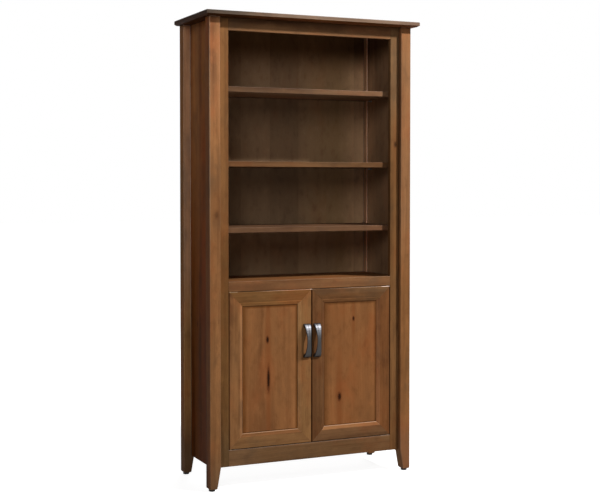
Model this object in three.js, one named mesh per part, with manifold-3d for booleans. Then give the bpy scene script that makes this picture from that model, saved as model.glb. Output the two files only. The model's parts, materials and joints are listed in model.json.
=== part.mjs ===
// A tall bookcase with a two-door cabinet below: four corner posts on tapered legs, side panels and a
// back let into the posts, a mortised face frame, three open shelves on pins, and two inset doors with
// mitred frames that turn on pivot hinges let into their top and bottom edges.
// Millimetres, +Z up. The origin is the middle of the overall box, on the floor. The front faces -Y.

import * as THREE from 'three';
import { mergeVertices } from 'three/addons/utils/BufferGeometryUtils.js';
import Module from 'manifold-3d';

const wasm = await Module();
wasm.setup();

// Overall sizes
const overallHeight = 1828.8;
const caseWidth = 870;
const caseDepth = 346;

// Clearances
const seam = 0.3; // left between pieces that touch or are glued
const pinClearance = 0.4; // round a pin, nail or pivot in its hole
const doorGap = 2; // round and between the inset doors
const shelfSideClearance = 1.5;
const shelfBackClearance = 2;
const cutOverrun = 5; // how far a cut runs past the face that it opens in

// Top board
const topThickness = 19;
const topSideOverhang = 22.2;
const topFrontOverhang = 35;
const topChamferWidth = 9;
const topChamferHeight = 5;
const topUpperEase = 2;

// Posts and their tapered legs
const postSize = 44.5;
const postEase = 2;
const legHeight = 88; // from the floor to the bottom rail
const footWidth = 31; // the leg's inner side tapers, its depth stays
const footEase = 3;

// Glides under the legs
const glideHeight = 8.7;
const glideDiameter = 25;
const glideEdge = 2;
const glideNailDiameter = 4;
const glideNailLength = 14;

// Side panels, grooved into the posts close to their inner faces
const sideThickness = 9.5;
const sideRecess = 30.5; // from the posts' outer faces
const sideDrop = 10; // from the top of the legs down to the panel's lower edge
const sideTongue = 8;

// Back panel, grooved into the rear posts
const backThickness = 6;
const backInset = 13;
const backTongue = 8;

// Face frame between the front posts
const frameThickness = 19;
const frameRecess = 17.5;
const frameEase = 0.5;
const frameStileWidth = 39;
const bottomRailHeight = 63;
const doorOpeningHeight = 611;
const midRailHeight = 38;
const topRailHeight = 48.5;
const tenonLength = 25;
const tenonThickness = 8;
const tenonShoulder = 6;

// Fixed boards, housed in the side panels
const deckThickness = 19;
const deckDrop = 3; // from the top of the mid rail down to the deck
const bottomThickness = 19;
const housingDepth = 3;

// Shelves
const shelfThickness = 21;
const shelfEase = 1.5;
const lowestShelfRise = 210; // from the deck to the top of the lowest open shelf
const cabinetShelfRise = 300; // from the cabinet's bottom to the top of its shelf
const shelfFrontGap = 9.5; // behind the face frame
const cleatWidth = 15;
const cleatHeight = 22;
const cleatEase = 1.5;

// Shelf pins and their rows of holes, evenly spaced
const pinSpacing = 32;
const pinRowInset = 36; // from a post's inner face to the row
const pinShankDiameter = 5;
const pinShankLength = 6;
const pinHoleDepth = 7;
const pinFlangeDiameter = 8;
const pinFlangeThickness = 1.2;
const pinPegDiameter = 6;
const pinPegLength = 8; // under the shelf
const pinPegEase = 0.8;
const shelfHeightShares = { lower: 0, middle: 0.337, upper: 0.716 }; // of the bays, snapped to the holes
const spareHoleSteps = [-1, 0, 1];

// Doors: mitred frame members with an inner bevel, and a flat panel in their groove
const doorThickness = 19;
const doorEase = 2;
const doorFrameWidth = 57;
const doorBevelWidth = 13;
const doorBevelDepth = 8;
const doorPanelRecess = 9;
const doorPanelThickness = 6;
const doorGrooveDepth = 9;
const doorPanelPlay = 1.5;

// Arched strap pulls
const handleLength = 133;
const handleWidth = 16.5; // at the middle of the arch
const handleFootWidth = 31;
const handleProjection = 26;
const handleStrapThickness = 4;
const handleFootLength = 12;
const handleEase = 1.4;
const handleInset = 21; // from the door's meeting edge to the strap's centre line
const handleDrop = 205; // from the top of the door opening to the strap's middle

// Pivot hinges
const pivotInset = 6.5; // from the door's outer edge
const pivotSetback = 6.5; // from the door's front face
const leafWidth = 8;
const leafSpan = 26; // between the centres of the leaf's round ends
const leafThickness = 2.4;
const pivotPinDiameter = 4;
const pivotBossDiameter = 7;
const leafScrewDiameter = 3;
const leafScrewHeadDiameter = 5.6;
const leafScrewShares = [0.42, 0.85];

// Double magnetic catch under the deck, and the doors' strike plates
const catchWidth = 60;
const catchDepth = 12;
const catchEase = 1.5;
const catchPoleOffset = 18; // from the middle of the cabinet
const catchPoleDiameter = 10;
const catchPoleProjection = 1;
const strikeWidth = 20;
const strikeHeight = 13;
const strikeThickness = 1.2;
const strikeDrop = 9; // from the top of the door to the strike's middle
const strikeScrewDiameter = 3;

// Facets of round pieces
const holeSides = 10;
const pinSides = 12;
const glideSides = 20;
const halfRoundSteps = 5;
const archSteps = 18;
const weldTolerance = 1e-4;

// Places worked out from the sizes
const caseHalf = caseWidth / 2;
const frontY = -(caseDepth - topFrontOverhang) / 2;
const rearY = frontY + caseDepth;
const topUnderZ = overallHeight - topThickness;
const joistZ = topUnderZ - seam; // where everything under the top board ends
const postInnerX = caseHalf - postSize;
const sideOuterX = caseHalf - sideRecess;
const sideInnerX = sideOuterX - sideThickness;
const sideBottomZ = legHeight - sideDrop;
const frameFrontY = frontY + frameRecess;
const frameBackY = frameFrontY + frameThickness;
const openingHalf = postInnerX - frameStileWidth;
const openingBottomZ = legHeight + bottomRailHeight;
const openingTopZ = openingBottomZ + doorOpeningHeight;
const midRailTopZ = openingTopZ + midRailHeight;
const topRailUnderZ = topUnderZ - topRailHeight;
const deckTopZ = midRailTopZ - deckDrop;
const deckUnderZ = deckTopZ - deckThickness;
const bottomUnderZ = openingBottomZ - bottomThickness;
const backFrontY = rearY - backInset - backThickness;
const shelfHalf = postInnerX - shelfSideClearance;
const shelfFrontY = frameBackY + shelfFrontGap;
const shelfBackY = backFrontY - shelfBackClearance;
const doorWidth = (2 * openingHalf - 3 * doorGap) / 2;
const doorHeight = doorOpeningHeight - 2 * doorGap;
const doorTopZ = openingTopZ - doorGap;
const doorBackY = frameFrontY + doorThickness;

// Directions
const axisX = new THREE.Vector3(1, 0, 0);
const axisY = new THREE.Vector3(0, 1, 0);
const axisZ = new THREE.Vector3(0, 0, 1);
const lengthAlongX = new THREE.Matrix4().makeBasis(axisY, axisZ, axisX);
const lengthAlongY = new THREE.Matrix4().makeBasis(axisX, axisZ, axisY.clone().negate());
const archOutwards = new THREE.Matrix4().makeBasis(axisY.clone().negate(), axisZ, axisX.clone().negate());

// Geometry helpers

// One closed body with shared corners and no degenerate triangles
function weld(geometry) {
  const bare = geometry.clone();
  bare.deleteAttribute('normal');
  bare.deleteAttribute('uv');
  const welded = mergeVertices(bare, weldTolerance);
  const source = welded.index.array;
  const kept = [];
  for (let i = 0; i < source.length; i += 3) {
    const [a, b, c] = source.slice(i, i + 3);
    if (a !== b && b !== c && c !== a) {
      kept.push(a, b, c);
    }
  }
  welded.setIndex(kept);
  welded.clearGroups();
  return welded;
}

function toSolid(geometry) {
  const welded = weld(geometry);
  return new wasm.Manifold(new wasm.Mesh({
    numProp: 3,
    vertProperties: new Float32Array(welded.attributes.position.array),
    triVerts: new Uint32Array(welded.index.array),
  }));
}

function toGeometry(solid) {
  const mesh = solid.getMesh();
  const geometry = new THREE.BufferGeometry();
  geometry.setAttribute('position', new THREE.BufferAttribute(mesh.vertProperties, mesh.numProp));
  geometry.setIndex(new THREE.BufferAttribute(mesh.triVerts, 1));
  return geometry;
}

function cut(geometry, cutters) {
  return toGeometry(cutters.reduce((body, cutter) => body.subtract(toSolid(cutter)), toSolid(geometry)));
}

function join(geometries) {
  const [first, ...others] = geometries.map(toSolid);
  return toGeometry(others.reduce((body, other) => body.add(other), first));
}

// A copy mirrored in X, in Y or in both, with its faces still pointing out
function mirrored(geometry, signX, signY) {
  const copy = weld(geometry);
  copy.scale(signX, signY, 1);
  if (signX * signY < 0) {
    copy.setIndex(Array.from(copy.index.array).reverse());
  }
  return copy;
}

function block([x0, y0, z0], [x1, y1, z1]) {
  const box = new THREE.BoxGeometry(x1 - x0, y1 - y0, z1 - z0);
  return box.translate((x0 + x1) / 2, (y0 + y1) / 2, (z0 + z1) / 2);
}

function extrude(outline, length) {
  const shape = new THREE.Shape(outline.map(([x, y]) => new THREE.Vector2(x, y)));
  return new THREE.ExtrudeGeometry(shape, { depth: length, bevelEnabled: false });
}

// A rectangle with its four corners cut off, counter-clockwise
function easedOutline([x0, y0], [x1, y1], ease) {
  return [
    [x0 + ease, y0], [x1 - ease, y0], [x1, y0 + ease], [x1, y1 - ease],
    [x1 - ease, y1], [x0 + ease, y1], [x0, y1 - ease], [x0, y0 + ease],
  ];
}

// Boards with their four long edges eased, between two opposite corners
function uprightBoard([x0, y0, z0], [x1, y1, z1], ease) {
  return extrude(easedOutline([x0, y0], [x1, y1], ease), z1 - z0).translate(0, 0, z0);
}

function crossBoard([x0, y0, z0], [x1, y1, z1], ease) {
  const board = extrude(easedOutline([y0, z0], [y1, z1], ease), x1 - x0);
  return board.applyMatrix4(lengthAlongX).translate(x0, 0, 0);
}

function depthBoard([x0, y0, z0], [x1, y1, z1], ease) {
  const board = extrude(easedOutline([x0, z0], [x1, z1], ease), y1 - y0);
  return board.applyMatrix4(lengthAlongY).translate(0, y1, 0);
}

// Stacks convex outlines of as many points each, from the lowest to the highest
function loft(rings) {
  const count = rings[0].outline.length;
  const last = (rings.length - 1) * count;
  const positions = rings.flatMap(({ z, outline }) => outline.flatMap(([x, y]) => [x, y, z]));
  const index = [];
  for (let start = 0; start < last; start += count) {
    for (let i = 0; i < count; i += 1) {
      const a = start + i;
      const b = start + (i + 1) % count;
      index.push(a, b, b + count, a, b + count, a + count);
    }
  }
  for (let i = 1; i + 1 < count; i += 1) {
    index.push(0, i + 1, i, last, last + i, last + i + 1);
  }
  const geometry = new THREE.BufferGeometry();
  geometry.setAttribute('position', new THREE.Float32BufferAttribute(positions, 3));
  geometry.setIndex(index);
  return geometry;
}

// A round bar that stands on the origin and runs up to a length
function rod(diameter, length, sides) {
  const radius = diameter / 2;
  return new THREE.CylinderGeometry(radius, radius, length, sides)
    .rotateX(Math.PI / 2)
    .translate(0, 0, length / 2);
}

// A turned piece round Z, from its radii and heights listed from the bottom up
function turned(profile, sides) {
  const points = profile.map(([radius, height]) => new THREE.Vector2(radius, height));
  return new THREE.LatheGeometry(points, sides).rotateX(Math.PI / 2);
}

// A slot with round ends, from the origin to a span along +X
function slotOutline(span, width) {
  const radius = width / 2;
  const points = [];
  for (const [centre, startAngle] of [[0, Math.PI / 2], [span, -Math.PI / 2]]) {
    for (let i = 0; i <= halfRoundSteps; i += 1) {
      const angle = startAngle + Math.PI * i / halfRoundSteps;
      points.push([centre + radius * Math.cos(angle), radius * Math.sin(angle)]);
    }
  }
  return points;
}

// The assembly
const bookcase = new THREE.Group();

function addPiece(name, geometry, { color, roughness, metalness }) {
  const material = new THREE.MeshStandardMaterial({ color, roughness, metalness, flatShading: true });
  const mesh = new THREE.Mesh(weld(geometry), material);
  mesh.name = name;
  bookcase.add(mesh);
}

function addPair(name, leftGeometry, finish) {
  addPiece(`left_${name}`, leftGeometry, finish);
  addPiece(`right_${name}`, mirrored(leftGeometry, -1, 1), finish);
}

const frameWood = { color: 0x80552f, roughness: 0.5, metalness: 0 };
const panelWood = { color: 0x825430, roughness: 0.5, metalness: 0 };
const shelfWood = { color: 0x7a5130, roughness: 0.5, metalness: 0 };
const pewter = { color: 0x56524d, roughness: 0.3, metalness: 1 };
const brass = { color: 0xa8875a, roughness: 0.35, metalness: 1 };
const steel = { color: 0x9a9a98, roughness: 0.35, metalness: 1 };
const blackPlastic = { color: 0x17171a, roughness: 0.6, metalness: 0 };
const brownPlastic = { color: 0x4a3527, roughness: 0.6, metalness: 0 };

// Top board: square at the back, chamfered below and eased above on the other three sides
function topBoard() {
  const halfWidth = caseHalf + topSideOverhang;
  const topFrontY = frontY - topFrontOverhang;
  const ring = (z, inset) => ({
    z,
    outline: [
      [-halfWidth + inset, topFrontY + inset], [halfWidth - inset, topFrontY + inset],
      [halfWidth - inset, rearY], [-halfWidth + inset, rearY],
    ],
  });
  return loft([
    ring(topUnderZ, topChamferWidth),
    ring(topUnderZ + topChamferHeight, 0),
    ring(overallHeight - topUpperEase, 0),
    ring(overallHeight, topUpperEase),
  ]);
}

addPiece('top_board', topBoard(), frameWood);

// Posts, drawn in the left rear corner's own frame: the outer faces lie on x = 0 and y = 0, the leg
// tapers on its +x side, and the grooves are cut in the inner faces, which look to +x and +y
const footZ = glideHeight + seam;

function postBlank() {
  const ring = (z, width, inset) => ({
    z,
    outline: easedOutline([inset, inset], [width - inset, postSize - inset], postEase),
  });
  return loft([
    ring(footZ, footWidth, footEase),
    ring(footZ + footEase, footWidth, 0),
    ring(legHeight, postSize, 0),
    ring(joistZ, postSize, 0),
  ]);
}

function post(isRear) {
  const sideGroove = block(
    [sideRecess - seam, postSize - sideTongue, sideBottomZ - seam],
    [sideRecess + sideThickness + seam, postSize + cutOverrun, overallHeight],
  );
  const backGroove = block(
    [postSize - backTongue, backInset - seam, bottomUnderZ - seam],
    [postSize + cutOverrun, backInset + backThickness + seam, overallHeight],
  );
  const nailHoleLength = cutOverrun + glideNailLength + pinClearance;
  const nailHole = rod(glideNailDiameter + 2 * pinClearance, nailHoleLength, holeSides)
    .translate(footWidth / 2, postSize / 2, footZ - cutOverrun);
  return cut(postBlank(), isRear ? [sideGroove, backGroove, nailHole] : [sideGroove, nailHole]);
}

// Glides: a pad with a rounded edge and a nail that goes up into the leg
function glide() {
  const pad = glideDiameter / 2;
  const nail = glideNailDiameter / 2;
  const tip = glideHeight + glideNailLength;
  return turned([
    [0, 0], [pad - glideEdge, 0], [pad, glideEdge], [pad, glideHeight],
    [nail, glideHeight], [nail, tip - glideNailDiameter], [0, tip],
  ], glideSides).translate(footWidth / 2, postSize / 2, 0);
}

for (const [end, endSign, endY] of [['front', 1, frontY], ['rear', -1, rearY]]) {
  for (const [side, sideSign] of [['left', 1], ['right', -1]]) {
    const place = (geometry) => mirrored(geometry, sideSign, endSign).translate(-sideSign * caseHalf, endY, 0);
    addPiece(`${end}_${side}_post`, place(post(end === 'rear')), frameWood);
    addPiece(`${end}_${side}_glide`, place(glide()), blackPlastic);
  }
}

// Side panels: tongues in the posts, housings for the fixed boards, and rows of pin holes
const sideFrontY = frontY + postSize - sideTongue + seam;
const sideRearY = rearY - postSize + sideTongue - seam;
const pinRowYs = { front: frontY + postSize + pinRowInset, rear: rearY - postSize - pinRowInset };

function shelfTopZ(shelf) {
  const reach = topRailUnderZ - deckTopZ - lowestShelfRise;
  return deckTopZ + lowestShelfRise + pinSpacing * Math.round(shelfHeightShares[shelf] * reach / pinSpacing);
}

const pinZ = (shelf) => shelfTopZ(shelf) - shelfThickness - seam - pinPegDiameter / 2;

function housing(underZ, thickness) {
  return block(
    [-sideInnerX - housingDepth, sideFrontY - cutOverrun, underZ - seam],
    [-sideInnerX + cutOverrun, sideRearY + cutOverrun, underZ + thickness + seam],
  );
}

function pinHoles() {
  const hole = rod(pinShankDiameter + 2 * pinClearance, pinHoleDepth + cutOverrun, holeSides)
    .rotateY(Math.PI / 2)
    .translate(-sideInnerX - pinHoleDepth, 0, 0);
  const holes = [];
  for (const shelf of Object.keys(shelfHeightShares)) {
    for (const rowY of Object.values(pinRowYs)) {
      for (const step of spareHoleSteps) {
        holes.push(hole.clone().translate(0, rowY, pinZ(shelf) + step * pinSpacing));
      }
    }
  }
  return holes;
}

addPair('side_panel', cut(
  block([-sideOuterX, sideFrontY, sideBottomZ], [-sideInnerX, sideRearY, joistZ]),
  [housing(deckUnderZ, deckThickness), housing(bottomUnderZ, bottomThickness), ...pinHoles()],
), panelWood);

// Back panel
const backHalf = postInnerX + backTongue - seam;
addPiece('back_panel', block(
  [-backHalf, backFrontY, bottomUnderZ],
  [backHalf, backFrontY + backThickness, joistZ],
), panelWood);

// Pivot hinges, drawn with the pivot on Z and the leaf's face on z = 0
const pivotX = -openingHalf + doorGap + pivotInset;
const pivotY = frameFrontY + pivotSetback;

function leafPlate() {
  const plate = extrude(slotOutline(leafSpan, leafWidth), leafThickness).translate(0, 0, -leafThickness);
  const headRadius = leafScrewHeadDiameter / 2;
  const shankRadius = leafScrewDiameter / 2;
  const spread = (headRadius - shankRadius) / leafThickness * seam;
  const screwHole = new THREE.CylinderGeometry(
    headRadius + spread, shankRadius - spread, leafThickness + 2 * seam, holeSides,
  ).rotateX(Math.PI / 2).translate(0, 0, -leafThickness / 2);
  return cut(plate, leafScrewShares.map((share) => screwHole.clone().translate(share * leafSpan, 0, 0)));
}

// The frame's leaf carries a boss that fills the door's gap and a pin that enters the door's leaf
function frameLeaf() {
  const bossHeight = doorGap - seam;
  const pinHeight = doorGap + leafThickness - seam;
  return join([
    leafPlate(),
    rod(pivotBossDiameter, bossHeight + leafThickness / 2, pinSides).translate(0, 0, -leafThickness / 2),
    rod(pivotPinDiameter, pinHeight + leafThickness / 2, pinSides).translate(0, 0, -leafThickness / 2),
  ]);
}

function doorLeaf() {
  const bore = rod(pivotPinDiameter + 2 * pinClearance, leafThickness + 2 * cutOverrun, pinSides);
  return cut(leafPlate(), [bore.translate(0, 0, -leafThickness - cutOverrun)]);
}

// The pocket that a leaf is let into, below a face on z = 0
function leafPocket() {
  const depth = leafThickness + seam;
  return extrude(slotOutline(leafSpan, leafWidth + 2 * seam), depth + cutOverrun).translate(0, 0, -depth);
}

// Places a hinge piece on the left pivot, facing up, or turned over to face down
function onPivot(geometry, faceZ, facesUp) {
  const copy = geometry.clone();
  if (!facesUp) {
    copy.rotateX(Math.PI);
  }
  return copy.translate(pivotX, pivotY, faceZ);
}

addPair('upper_frame_leaf', onPivot(frameLeaf(), openingTopZ, false), brass);
addPair('lower_frame_leaf', onPivot(frameLeaf(), openingBottomZ, true), brass);

// Face frame: stiles with mortises, rails with tenons
const rails = {
  top: [topRailUnderZ, joistZ],
  mid: [openingTopZ, midRailTopZ],
  bottom: [legHeight, openingBottomZ],
};
const tenonFrontY = (frameFrontY + frameBackY - tenonThickness) / 2;
const tenonBackY = tenonFrontY + tenonThickness;

function mortise([railUnderZ, railTopZ]) {
  return block(
    [-openingHalf - tenonLength - seam, tenonFrontY - seam, railUnderZ + tenonShoulder - seam],
    [-openingHalf + cutOverrun, tenonBackY + seam, railTopZ - tenonShoulder + seam],
  );
}

addPair('frame_stile', cut(
  uprightBoard(
    [-postInnerX + seam, frameFrontY, legHeight],
    [-openingHalf, frameBackY, joistZ],
    frameEase,
  ),
  Object.values(rails).map(mortise),
), frameWood);

function rail([underZ, topZ]) {
  const shoulderX = openingHalf - seam;
  const tenonX = openingHalf + tenonLength;
  return join([
    crossBoard([-shoulderX, frameFrontY, underZ], [shoulderX, frameBackY, topZ], frameEase),
    block([-tenonX, tenonFrontY, underZ + tenonShoulder], [tenonX, tenonBackY, topZ - tenonShoulder]),
  ]);
}

// Pockets for both hinges in the face of a rail
function railPockets(faceZ, facesUp) {
  const left = onPivot(leafPocket(), faceZ, facesUp);
  return [left, mirrored(left, -1, 1)];
}

addPiece('frame_top_rail', rail(rails.top), frameWood);
addPiece('frame_mid_rail', cut(rail(rails.mid), railPockets(openingTopZ, false)), frameWood);
addPiece('frame_bottom_rail', cut(rail(rails.bottom), railPockets(openingBottomZ, true)), frameWood);

// Fixed boards, notched round the posts where they reach past them
function fixedBoard(underZ, thickness) {
  const halfWidth = sideInnerX + housingDepth - seam;
  const board = block(
    [-halfWidth, frameBackY + seam, underZ],
    [halfWidth, backFrontY - seam, underZ + thickness],
  );
  const postNotch = (y0, y1) => block(
    [-caseHalf, y0 - seam, underZ - cutOverrun],
    [-postInnerX + seam, y1 + seam, underZ + thickness + cutOverrun],
  );
  const leftNotches = [postNotch(frontY, frontY + postSize), postNotch(rearY - postSize, rearY)];
  return cut(board, [...leftNotches, ...leftNotches.map((notch) => mirrored(notch, -1, 1))]);
}

addPiece('cabinet_deck', fixedBoard(deckUnderZ, deckThickness), shelfWood);
addPiece('cabinet_bottom', fixedBoard(bottomUnderZ, bottomThickness), shelfWood);

function shelf(topZ) {
  return crossBoard(
    [-shelfHalf, shelfFrontY, topZ - shelfThickness],
    [shelfHalf, shelfBackY, topZ],
    shelfEase,
  );
}

// Shelf pins: a shank in the panel's hole, a thin flange on the panel and a peg under the shelf
function shelfPin() {
  const shank = pinShankDiameter / 2;
  const flange = pinFlangeDiameter / 2;
  const peg = pinPegDiameter / 2;
  const flangeEnd = seam + pinFlangeThickness;
  const pegEnd = sideInnerX - shelfHalf + pinPegLength;
  return turned([
    [0, -pinShankLength], [shank, -pinShankLength], [shank, seam], [flange, seam], [flange, flangeEnd],
    [peg, flangeEnd], [peg, pegEnd - pinPegEase], [peg - pinPegEase, pegEnd], [0, pegEnd],
  ], pinSides).rotateY(Math.PI / 2);
}

for (const name of Object.keys(shelfHeightShares)) {
  addPiece(`${name}_shelf`, shelf(shelfTopZ(name)), shelfWood);
  for (const [row, rowY] of Object.entries(pinRowYs)) {
    const leftPin = shelfPin().translate(-sideInnerX, rowY, pinZ(name));
    addPair(`${name}_shelf_${row}_pin`, leftPin, steel);
  }
}

// Shelf behind the doors, on two cleats
const cabinetShelfTopZ = openingBottomZ + cabinetShelfRise;
const cleatTopZ = cabinetShelfTopZ - shelfThickness - seam;
addPiece('cabinet_shelf', shelf(cabinetShelfTopZ), shelfWood);
addPair('shelf_cleat', depthBoard(
  [-sideInnerX + seam, frontY + postSize + seam, cleatTopZ - cleatHeight],
  [-sideInnerX + seam + cleatWidth, rearY - postSize - seam, cleatTopZ],
  cleatEase,
), shelfWood);

// Doors: the left one, from its hinge edge at x = 0, its front on y = 0 and its bottom on z = 0
function memberOutline() {
  const bevelStart = doorFrameWidth - doorBevelWidth;
  const grooveBottom = doorFrameWidth - doorGrooveDepth;
  const grooveFront = doorPanelRecess - seam;
  const grooveBack = doorPanelRecess + doorPanelThickness + seam;
  return [
    [0, doorEase], [doorEase, 0], [bevelStart, 0], [doorFrameWidth, doorBevelDepth],
    [doorFrameWidth, grooveFront], [grooveBottom, grooveFront], [grooveBottom, grooveBack],
    [doorFrameWidth, grooveBack], [doorFrameWidth, doorThickness], [doorEase, doorThickness],
    [0, doorThickness - doorEase],
  ];
}

// A frame member with its outer edge along Z, both ends mitred at 45 degrees
function mitredMember(length) {
  const member = extrude(memberOutline(), length);
  const position = member.attributes.position;
  const mitreSeam = seam * Math.SQRT1_2;
  for (let i = 0; i < position.count; i += 1) {
    const inset = position.getX(i) + mitreSeam;
    position.setZ(i, position.getZ(i) < length / 2 ? inset : length - inset);
  }
  return member;
}

const doorPlace = [-openingHalf + doorGap, frameFrontY, openingBottomZ + doorGap];
const doorPockets = [
  onPivot(leafPocket(), doorTopZ, true),
  onPivot(leafPocket(), doorPlace[2], false),
];
const quarterTurn = Math.PI / 2;
const doorMembers = {
  door_hinge_stile: mitredMember(doorHeight),
  door_lock_stile: mitredMember(doorHeight).rotateY(2 * quarterTurn).translate(doorWidth, 0, doorHeight),
  door_top_rail: mitredMember(doorWidth).rotateY(quarterTurn).translate(0, 0, doorHeight),
  door_bottom_rail: mitredMember(doorWidth).rotateY(-quarterTurn).translate(doorWidth, 0, 0),
};

for (const [name, member] of Object.entries(doorMembers)) {
  addPair(name, cut(member.translate(...doorPlace), doorPockets), frameWood);
}

const panelEdge = doorFrameWidth - doorGrooveDepth + doorPanelPlay;
addPair('door_panel', block(
  [panelEdge, doorPanelRecess, panelEdge],
  [doorWidth - panelEdge, doorPanelRecess + doorPanelThickness, doorHeight - panelEdge],
).translate(...doorPlace), panelWood);

addPair('door_upper_leaf', onPivot(doorLeaf(), doorTopZ, true), brass);
addPair('door_lower_leaf', onPivot(doorLeaf(), doorPlace[2], false), brass);

// Arched strap pulls: an elliptic bow on two solid feet, waisted at the middle
function halfEllipse(halfLength, height) {
  return new THREE.EllipseCurve(0, 0, height, halfLength, -Math.PI / 2, Math.PI / 2).getPoints(archSteps);
}

function handle() {
  const halfLength = handleLength / 2;
  const outer = halfEllipse(halfLength, handleProjection);
  const inner = halfEllipse(halfLength - handleFootLength, handleProjection - handleStrapThickness);
  const bodyWidth = handleWidth - 2 * handleEase;
  const bow = new THREE.ExtrudeGeometry(new THREE.Shape([...outer, ...inner.reverse()]), {
    depth: bodyWidth,
    bevelEnabled: true,
    bevelThickness: handleEase,
    bevelSize: handleEase,
    bevelOffset: -handleEase,
    bevelSegments: 2,
  }).translate(0, 0, -bodyWidth / 2);
  const position = bow.attributes.position;
  const flare = (handleFootWidth - handleWidth) / handleWidth;
  for (let i = 0; i < position.count; i += 1) {
    const share = position.getY(i) / halfLength;
    position.setZ(i, position.getZ(i) * (1 + flare * share * share));
  }
  return bow.applyMatrix4(archOutwards);
}

addPair('door_handle', handle().translate(
  doorPlace[0] + doorWidth - handleInset,
  frameFrontY - seam,
  openingTopZ - handleDrop,
), pewter);

// Strike plates on the backs of the doors
const strikeZ = doorTopZ - strikeDrop;
const strikeFrontY = doorBackY + seam;
const strikeBackY = strikeFrontY + strikeThickness;
const strikeHole = rod(strikeScrewDiameter, doorThickness, holeSides)
  .rotateX(-quarterTurn)
  .translate(-catchPoleOffset, doorBackY - cutOverrun, strikeZ);

addPair('door_strike', cut(
  block(
    [-catchPoleOffset - strikeWidth / 2, strikeFrontY, strikeZ - strikeHeight / 2],
    [-catchPoleOffset + strikeWidth / 2, strikeBackY, strikeZ + strikeHeight / 2],
  ),
  [strikeHole],
), steel);

// Catch: a block under the deck with a round magnet pole for each door
function magneticCatch() {
  const poleFrontY = strikeBackY + seam;
  const bodyFrontY = poleFrontY + catchPoleProjection;
  const pole = rod(catchPoleDiameter, catchPoleProjection + catchDepth / 2, pinSides)
    .rotateX(-quarterTurn)
    .translate(0, poleFrontY, strikeZ);
  return join([
    uprightBoard(
      [-catchWidth / 2, bodyFrontY, strikeZ - strikeHeight / 2],
      [catchWidth / 2, bodyFrontY + catchDepth, deckUnderZ - seam],
      catchEase,
    ),
    pole.clone().translate(-catchPoleOffset, 0, 0),
    pole.clone().translate(catchPoleOffset, 0, 0),
  ]);
}

addPiece('catch_body', magneticCatch(), brownPlastic);

export default bookcase;
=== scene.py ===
# The looks of a tall bookcase with a two-door cabinet: knotty brown wood under a satin lacquer, arched
# pewter pulls, and the small hardware that shows when the doors stand open. Metres, +Z up, front -Y.
import json
import math

import bmesh
import bpy
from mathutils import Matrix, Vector


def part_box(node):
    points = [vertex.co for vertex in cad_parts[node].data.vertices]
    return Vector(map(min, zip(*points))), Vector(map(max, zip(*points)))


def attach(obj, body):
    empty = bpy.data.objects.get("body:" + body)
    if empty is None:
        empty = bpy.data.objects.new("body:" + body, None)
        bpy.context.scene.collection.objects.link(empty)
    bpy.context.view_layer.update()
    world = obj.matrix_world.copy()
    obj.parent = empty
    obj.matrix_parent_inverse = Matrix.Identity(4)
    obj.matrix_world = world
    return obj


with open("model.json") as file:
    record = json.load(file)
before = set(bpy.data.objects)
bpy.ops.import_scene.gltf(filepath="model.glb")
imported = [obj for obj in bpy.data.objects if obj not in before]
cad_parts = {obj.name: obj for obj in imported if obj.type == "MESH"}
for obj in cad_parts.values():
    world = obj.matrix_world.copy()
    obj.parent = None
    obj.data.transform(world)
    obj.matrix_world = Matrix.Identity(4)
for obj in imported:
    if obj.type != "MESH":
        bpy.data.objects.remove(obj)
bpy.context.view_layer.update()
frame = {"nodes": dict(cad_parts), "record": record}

MM = 0.001

# Camera, fitted to the photograph
CAMERA_PLACE = (-1.9982, -4.4272, 1.1818)
CAMERA_YAW = math.radians(24.412)
CAMERA_PITCH = math.radians(1.6526)
CAMERA_LENS = 71.994
CAMERA_SENSOR = 36.0
CAMERA_SHIFT = -0.055

# A lamp up on the right, a broad soft one on the left, a third behind, and a dim room
LAMP_TARGET = Vector((0.0, 0.0, 0.95))
KEY_PLACE = Vector((2.05, -2.4, 3.72))
KEY_SIZE = 0.25
KEY_POWER = 236.0
FILL_PLACE = Vector((-2.4, -4.0, 2.9))
FILL_SIZE = 1.8
FILL_POWER = 64.0
REAR_PLACE = Vector((1.6, 3.8, 2.6))
REAR_SIZE = 1.8
REAR_POWER = 75.0
WORLD_STRENGTH = 0.08

# A grey floor that glows, so that it fades into the white room over this distance from the piece
FLOOR_SIZE = 60.0
FLOOR_COLOUR = (0.42, 0.42, 0.42, 1)
FLOOR_GLOW = 0.9
FLOOR_FADE = (0.8, 3.0)


def place_in_scene(name, data):
    obj = bpy.data.objects.new(name, data)
    bpy.context.scene.collection.objects.link(obj)
    return obj


# Node graphs

# The Mix node's colour sockets come after those of its other kinds of data
MIX_FIRST = 6
MIX_SECOND = 7
MIX_RESULT = 2


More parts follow.
